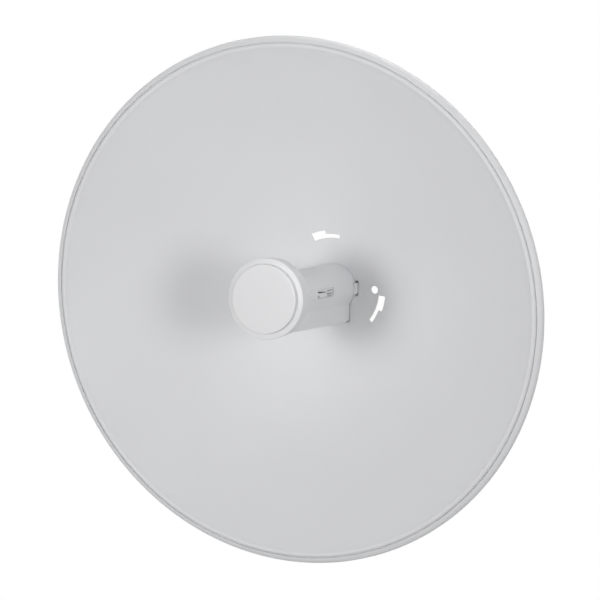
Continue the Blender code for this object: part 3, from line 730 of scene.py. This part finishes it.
def makeWasher(name, node, spot, low):
    values = bolt
    r, bore, high = values["washer"], values["bore"], low + values["washerThick"]
    edge, bend, small = values["washerEdge"], values["washerRound"], values["washerBore"]
    line = [(bore, low), (r - edge, low), (r, low + edge), (r, high - bend), (r - bend, high),
            (bore + small, high), (bore, high - small)]
    washer = toObject(lathe(line, 72, closed=True), name, zincPlate, spot)
    finishPiece(washer, "zinc_fastener", node, degrees=25)


# tilt block and bracket, drawn from the side as (depth behind the vertex, height over the dish's axis)

tilt = {"blockHalf": 0.0137, "block": [(0.0333, -0.004), (0.0570, -0.004), (0.0600, -0.001), (0.0600, 0.029),
                                       (0.0570, 0.032), (0.0333, 0.032)],
        "blockEdge": 0.0009, "pocket": ((0.0555, 0.0010, -0.0095), (0.0640, 0.0270, 0.0095)),
        "pocketEdge": 0.0015,
        "half": 0.017, "sheet": 0.003, "back": 0.0937, "bendOuter": 0.0040, "bendInner": 0.0014,
        "channelEnds": (-0.02, 0.1),
        "outline": [(0.0360, -0.001), (0.0400, -0.005), (0.0620, -0.005), (0.0937, 0.014), (0.0937, 0.086),
                    (0.0850, 0.083), (0.0560, 0.038), (0.0520, 0.0365), (0.0400, 0.0365), (0.0360, 0.0325)],
        "corner": 0.0022, "edge": 0.0005, "pivot": (0.048, 0.006), "swing": 0.018, "swingAngle": 20,
        "earth": (0.076, 0.050), "screwZ": 0.022, "screwHole": 0.0028,
        "ticks": 4, "tickStep": 5, "tickStart": 0.0068, "tickEnds": (0.0105, 0.0092), "tickHalf": 0.00022,
        "tickDeep": 0.0003, "threadLong": 0.016, "boltPast": 0.002, "cutReach": 0.03}
lockSpot = (tilt["pivot"][0], tilt["pivot"][1] + tilt["swing"])


def swingOutline(radius, halfWide, angle):
    # a curved slot round the pivot with round ends
    px, py = tilt["pivot"]
    outer = arc(radius + halfWide, -angle, angle, 16, (px, py))
    inner = arc(radius - halfWide, angle, -angle, 16, (px, py))
    a = math.radians(angle)
    right = (px + radius * math.sin(a), py + radius * math.cos(a))
    left = (px - radius * math.sin(a), py + radius * math.cos(a))
    rightEnd = arc(halfWide, angle, angle + 180, 12, right)[1:-1]
    leftEnd = arc(halfWide, 180 - angle, 360 - angle, 12, left)[1:-1]
    return outer + rightEnd + inner + leftEnd


def makeTiltBlock():
    values = tilt
    half, reach = values["blockHalf"], values["cutReach"]
    bm = soften(prism(values["block"], -half, half), values["blockEdge"], 3)
    block = toObject(bm, "tiltBlock", bracketPaint, sideFrame)
    # a casting pocket in its back, and the holes for the two cross bolts
    holes = [(bar(bolt["bore"], -reach, reach, 40, at), sideFrame) for at in (values["pivot"], lockSpot)]
    pocket = soften(brick(*values["pocket"]), values["pocketEdge"], 3)
    cut(block, *holes, (pocket, sideFrame))
    finishPiece(block, "bracket_paint", "tilt_block", degrees=20)


def makeTiltBracket():
    values = tilt
    half, sheet, back, reach = values["half"], values["sheet"], values["back"], values["cutReach"]
    bend, tight, inside = values["bendOuter"], values["bendInner"], half - sheet
    # the folded sheet seen from above, with its height along local z
    outer = [(half, 0)] + arc(bend, 90, 0, 8, (half - bend, back - bend))
    inner = arc(tight, 0, 90, 6, (inside - tight, back - sheet - tight)) + [(inside, 0)]
    section = mirrored(outer) + [(-x, y) for x, y in reversed(inner)] + inner
    channel = toObject(prism(section, *values["channelEnds"]), "tiltBracket", bracketPaint, vertex)
    trim = soften(prism(values["outline"], -reach, reach), values["corner"], 4, 10, alongAxis(2))
    combine(channel, [toObject(trim, "trim", None, sideFrame)], "INTERSECT")
    slot = swingOutline(values["swing"], bolt["bore"], values["swingAngle"])
    cuts = [(bar(bolt["bore"], -reach, reach, 40, values["pivot"]), sideFrame),
            (prism(slot, -reach, reach), sideFrame),
            (bar(values["screwHole"], -reach, 0, 32, values["earth"]), sideFrame)]
    for z in (values["screwZ"], -values["screwZ"]):
        cuts.append((bar(values["screwHole"], -reach, reach, 32, (0, -z)), backFrame))
    cut(channel, *cuts)
    cut(channel, *tickMarks())
    roundEdges(channel, values["edge"], 2, 50)
    finishPiece(channel, "bracket_paint", "tilt_bracket", degrees=24)


def tickMarks():
    # plain marks along the slot, for setting the angle, as cutters on both sides of the bracket
    values = tilt
    px, py = values["pivot"]
    start = values["swing"] + values["tickStart"]
    cuts = []
    for i in range(-values["ticks"], values["ticks"] + 1):
        a = math.radians(i * values["tickStep"])
        end = values["swing"] + values["tickEnds"][i % 2]
        wx, wy = values["tickHalf"] * math.cos(a), -values["tickHalf"] * math.sin(a)
        low, high = [(px + r * math.sin(a), py + r * math.cos(a)) for r in (start, end)]
        mark = [(low[0] - wx, low[1] - wy), (low[0] + wx, low[1] + wy), (high[0] + wx, high[1] + wy),
                (high[0] - wx, high[1] - wy)]
        for side in (1, -1):
            ends = onSide(side, values["half"] - values["tickDeep"], values["half"] + overlap)
            cuts.append((prism(mark, *ends), sideFrame))
    return cuts


def makeTiltFasteners():
    values = tilt
    face = values["half"] + bolt["gap"]
    nutStart = face + bolt["washerThick"] + bolt["gap"]
    length = face + nutStart + bolt["nutHigh"] + values["boltPast"]
    for word, at in (("pivot", values["pivot"]), ("lock", lockSpot)):
        spot = sideFrame @ Matrix.Translation((*at, face)) @ halfTurn
        makeBolt(f"{word}Bolt", f"{word}_bolt", spot, length, length - values["threadLong"])
        spot = sideFrame @ Matrix.Translation((*at, 0)) @ halfTurn
        makeWasher(f"{word}Washer", f"{word}_washer", spot, face)
        makeNut(f"{word}Nut", f"{word}_nut", spot, nutStart)
    earth = sideFrame @ Matrix.Translation((*values["earth"], -face)) @ halfTurn
    makeScrew("earthScrew", "earth_screw", screws["earth"], earth)
    webFace = place["vertexY"] + values["back"] - values["sheet"] - bolt["gap"]
    for word, z in (("upper", values["screwZ"]), ("lower", -values["screwZ"])):
        spot = Matrix.Translation((0, webFace, z)) @ Matrix.Rotation(math.radians(90), 4, "X")
        makeScrew(f"bracketScrew_{word}", f"bracket_screw_{word}", screws["bracket"], spot)


makeTiltBlock()
makeTiltBracket()
makeTiltFasteners()
print("tilt bracket made")


# the pole clamp: the saddle with the bearing face, the jaw behind the pole, and two long bolts

clamp = {"webHalfX": 0.035, "halfZ": 0.040, "web": (-0.006, -0.002), "padHalfX": 0.020, "padHalfZ": 0.034,
         "corner": 0.005, "padEdge": 0.0012, "flange": 0.003, "flangeHalfX": 0.026, "flangeRoot": 0.001,
         "flangeCorner": 0.003, "reach": 0.018, "notch": (0.009, 0.020), "jawWeb": (0.050, 0.053),
         "jawHalfZ": 0.024, "boltX": 0.028, "boltEnd": 0.066, "threadFrom": 0.036, "bend": 0.0026, "teeth": 5,
         "toothDeep": 0.0011, "screwWall": 0.0007, "edge": 0.0004}


def flangeOutline(root, tip):
    # a flange seen from above, with a toothed notch for the pole
    wide, corner = clamp["flangeHalfX"], clamp["flangeCorner"]
    inner, outer = clamp["notch"]
    step = math.copysign(1, tip - root)
    half = [(wide, root - clamp["flangeRoot"] * step), (wide, tip - corner * step), (wide - corner, tip),
            (outer, tip)]
    start = Vector((outer, tip))
    run = Vector((inner - outer, root - tip))
    side = Vector((-run.y, run.x)).normalized()
    if side.x < 0:
        side = -side
    for i in range(clamp["teeth"]):
        half.append(tuple(start + run * ((i + 0.5) / clamp["teeth"]) + side * clamp["toothDeep"]))
        half.append(tuple(start + run * ((i + 1) / clamp["teeth"])))
    return mirrored(half)


def clampSheet(name, node, low, high, halfZ, tip, pad):
    # a folded plate: the web, a toothed flange along its top and foot, and its bolt holes
    values = clamp
    root = high if tip > high else low
    wide, thick = values["webHalfX"], values["flange"]
    web = soften(brick((-wide, low, -halfZ), (wide, high, halfZ)), values["corner"], 5, 30, alongAxis(1))

    def outsideOfBend(edge):
        far = low if tip > high else high
        return all(abs(v.co.y - far) < 0.00001 and abs(abs(v.co.z) - halfZ) < 0.00001 for v in edge.verts)

    soften(web, values["bend"], 4, 60, outsideOfBend)
    sheet = toObject(web, name, bracketPaint)
    noMove = Matrix.Identity(4)
    outline = flangeOutline(root, tip)
    joined = [(prism(outline, z, z + thick), noMove) for z in (halfZ - thick, -halfZ)]
    if pad:
        padX, padZ = values["padHalfX"], values["padHalfZ"]
        cushion = brick((-padX, high - overlap, -padZ), (padX, 0, padZ))
        joined.append((soften(cushion, values["padEdge"], 3, 30, alongAxis(1)), noMove))
    weld(sheet, *joined)
    spots = [(side * values["boltX"], 0) for side in (1, -1)]
    holes = [(bar(bolt["bore"], low - overlap, high + overlap, 40, at), backFrame) for at in spots]
    if pad:
        # room for the tips of the bracket's screws, with the bearing face left whole
        for z in (tilt["screwZ"], -tilt["screwZ"]):
            room = bar(tilt["screwHole"], low - overlap, high - values["screwWall"], 32, (0, z))
            holes.append((room, backFrame))
    cut(sheet, *holes)
    roundEdges(sheet, values["edge"], 2, 40)
    finishPiece(sheet, "bracket_paint", node, degrees=24)


def makeClamp():
    values = clamp
    clampSheet("poleSaddle", "pole_saddle", *values["web"], values["halfZ"], values["reach"], True)
    low, high = values["jawWeb"]
    clampSheet("clampJaw", "clamp_jaw", low, high, values["jawHalfZ"], low - values["reach"], False)
    headFace = values["web"][0] - bolt["gap"]
    washerStart = high + bolt["gap"]
    nutStart = high + bolt["washerThick"] + 2 * bolt["gap"]
    for side, word in ((1, "right"), (-1, "left")):
        spot = backFrame @ Matrix.Translation((side * values["boltX"], 0, headFace))
        length = values["boltEnd"] - headFace
        makeBolt(f"clampBolt_{word}", f"clamp_bolt_{word}", spot, length, values["threadFrom"])
        level = backFrame @ Matrix.Translation((side * values["boltX"], 0, 0))
        makeWasher(f"clampWasher_{word}", f"clamp_washer_{word}", level, washerStart)
        makeNut(f"clampNut_{word}", f"clamp_nut_{word}", level, nutStart)


makeClamp()
print("pole clamp made")


# stage: a white floor and world, and soft lights round the object
# each box: azimuth, elevation, width and power
lights = {"distance": 2.2, "aim": (0, -0.25, -0.04), "world": 0.08, "floor": 0.32, "backdrop": 1.0,
          "floorZ": -12, "floorHalf": 150,
          "boxes": {"key": (45.2, 8, 0.6, 10.4), "fill": (-12, 10.6, 0.8, 11.8), "front": (-6, 8, 0.45, 7.2),
                    "low": (-40, -34, 2.6, 6.2), "highLeft": (-60, 30, 3.0, 4.4),
                    "highRight": (80, 36, 3.0, 8.2), "back": (182, 67, 1.4, 24),
                    "sideLeft": (-106, 0, 1.8, 5.5), "sideRight": (108, 0, 1.8, 7),
                    "under": (180, -50, 1.8, 7), "top": (10, 74, 1.8, 3.3)}}


def direction(azimuth, elevation):
    a, e = math.radians(azimuth), math.radians(elevation)
    return Vector((math.sin(a) * math.cos(e), -math.cos(a) * math.cos(e), math.sin(e)))


def aimAt(thing, target):
    thing.rotation_euler = (Vector(target) - thing.location).to_track_quat("-Z", "Y").to_euler()


def addSoftbox(name, azimuth, elevation, size, power):
    lamp = bpy.data.lights.new(name, "AREA")
    lamp.shape = "DISK"
    lamp.size = size
    lamp.energy = power
    thing = bpy.data.objects.new(name, lamp)
    bpy.context.scene.collection.objects.link(thing)
    thing.location = Vector(lights["aim"]) + direction(azimuth, elevation) * lights["distance"]
    aimAt(thing, lights["aim"])


def whiteForCamera(tree, shaderType, output, strength):
    # seen as plain white, but it lights the object less than that
    path = tree.nodes.new("ShaderNodeLightPath")
    pick = tree.nodes.new("ShaderNodeMix")
    pick.inputs[2].default_value = strength
    pick.inputs[3].default_value = lights["backdrop"]
    tree.links.new(path.outputs["Is Camera Ray"], pick.inputs[0])
    glow = tree.nodes.new(shaderType)
    glow.inputs["Color"].default_value = (1, 1, 1, 1)
    tree.links.new(pick.outputs[0], glow.inputs["Strength"])
    tree.links.new(glow.outputs[0], output.inputs["Surface"])


def makeStage():
    world = bpy.data.worlds.new("studio")
    bpy.context.scene.world = world
    world.use_nodes = True
    world.node_tree.nodes.clear()
    worldOut = world.node_tree.nodes.new("ShaderNodeOutputWorld")
    whiteForCamera(world.node_tree, "ShaderNodeBackground", worldOut, lights["world"])
    floorWhite, tree = newMaterial("floorWhite")
    tree.nodes.clear()
    floorOut = tree.nodes.new("ShaderNodeOutputMaterial")
    whiteForCamera(tree, "ShaderNodeEmission", floorOut, lights["floor"])
    bm = bmesh.new()
    bmesh.ops.create_grid(bm, x_segments=4, y_segments=4, size=lights["floorHalf"])
    bmesh.ops.translate(bm, vec=(0, 0, lights["floorZ"]), verts=bm.verts)
    floor = toObject(bm, "studioFloor", floorWhite)
    for name, values in lights["boxes"].items():
        addSoftbox(f"{name}Box", *values)
    bpy.context.scene.view_settings.view_transform = "Standard"
    bpy.context.scene.view_settings.look = "None"
    print("stage made")


# the camera that fits the photo
view = {"azimuth": 24.56, "elevation": 10.2, "distance": 24.49, "lens": 1500, "sensor": 36, "clipEnd": 400,
        "rimCentre": (0.0002, -0.1831, -0.0502)}


def makeCamera():
    lensData = bpy.data.cameras.new("photoCamera")
    lensData.lens = view["lens"]
    lensData.sensor_width = view["sensor"]
    lensData.clip_end = view["clipEnd"]
    camera = bpy.data.objects.new("photoCamera", lensData)
    bpy.context.scene.collection.objects.link(camera)
    aim = Vector(view["rimCentre"])
    camera.location = aim + direction(view["azimuth"], view["elevation"]) * view["distance"]
    aimAt(camera, aim)
    bpy.context.scene.camera = camera
    print("camera set")


makeStage()
makeCamera()
